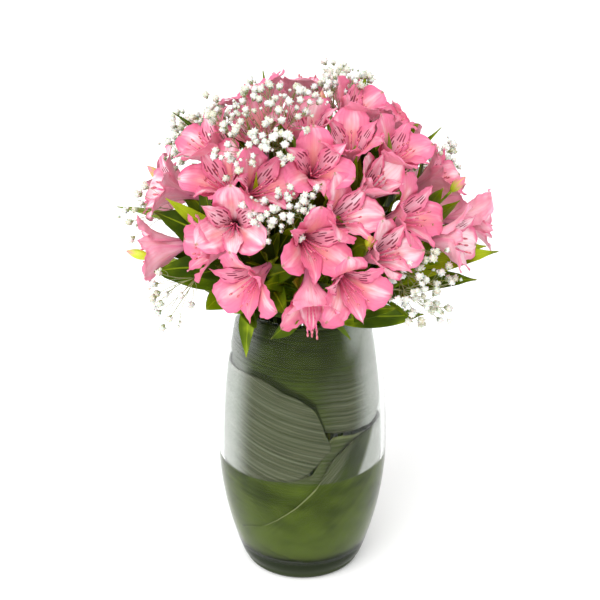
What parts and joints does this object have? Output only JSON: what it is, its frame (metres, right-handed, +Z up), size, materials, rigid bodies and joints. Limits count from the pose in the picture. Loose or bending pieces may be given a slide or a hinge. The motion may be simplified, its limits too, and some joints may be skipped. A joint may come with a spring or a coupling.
{
  "type": "alstroemeria bouquet in a glass vase",
  "caption": "Round bouquet of pink alstroemeria with gypsophila and green leaves, standing in water in a barrel-shaped clear glass vase lined with broad dark green leaves.",
  "frame": {"origin": "the centre of the face that the vase stands on", "axes": "+Z is up, along the vase's axis; -Y is the front, the side with the full-face blooms; +X is to the right of the front"},
  "size_m": [0.3091, 0.3023, 0.451],
  "materials": {
    "glass": "clear, polished",
    "water": "clear",
    "lining_leaf": "smooth leaf skin",
    "stem_green": "satin leaf skin",
    "bloom_pink": "soft petal skin",
    "gypsophila_white": "matte petals"
  },
  "bodies": {
    "root": {"vase": "glass", "lining_leaf_upper": "lining_leaf", "lining_leaf_middle": "lining_leaf", "lining_leaf_lower_right": "lining_leaf", "lining_leaf_lower_left": "lining_leaf", "alstroemeria_stem_01": "stem_green", "alstroemeria_stem_02": "stem_green", "alstroemeria_stem_03": "stem_green", "alstroemeria_stem_04": "stem_green", "alstroemeria_stem_05": "stem_green", "alstroemeria_stem_06": "stem_green", "alstroemeria_stem_07": "stem_green", "alstroemeria_stem_08": "stem_green", "alstroemeria_stem_09": "stem_green", "alstroemeria_stem_10": "stem_green", "alstroemeria_stem_11": "stem_green", "bloom_01": "bloom_pink", "bloom_02": "bloom_pink", "bloom_03": "bloom_pink", "bloom_04": "bloom_pink", "bloom_05": "bloom_pink", "bloom_06": "bloom_pink", "bloom_07": "bloom_pink", "bloom_08": "bloom_pink", "bloom_09": "bloom_pink", "bloom_10": "bloom_pink", "bloom_11": "bloom_pink", "bloom_12": "bloom_pink", "bloom_13": "bloom_pink", "bloom_14": "bloom_pink", "bloom_15": "bloom_pink", "bloom_16": "bloom_pink", "bloom_17": "bloom_pink", "bloom_18": "bloom_pink", "bloom_19": "bloom_pink", "bloom_20": "bloom_pink", "bloom_21": "bloom_pink", "bloom_22": "bloom_pink", "bloom_23": "bloom_pink", "bloom_24": "bloom_pink", "bloom_25": "bloom_pink", "bloom_26": "bloom_pink", "bloom_27": "bloom_pink", "bloom_28": "bloom_pink", "bloom_29": "bloom_pink", "bloom_30": "bloom_pink", "bloom_31": "bloom_pink", "bloom_32": "bloom_pink", "bloom_33": "bloom_pink", "bloom_34": "bloom_pink", "bloom_35": "bloom_pink", "bloom_36": "bloom_pink", "gypsophila_spray_01": "gypsophila_white", "gypsophila_spray_02": "gypsophila_white", "gypsophila_spray_03": "gypsophila_white", "gypsophila_spray_04": "gypsophila_white", "gypsophila_spray_05": "gypsophila_white", "gypsophila_spray_06": "gypsophila_white", "gypsophila_spray_07": "gypsophila_white", "water": "water"}
  },
  "joints": []
}
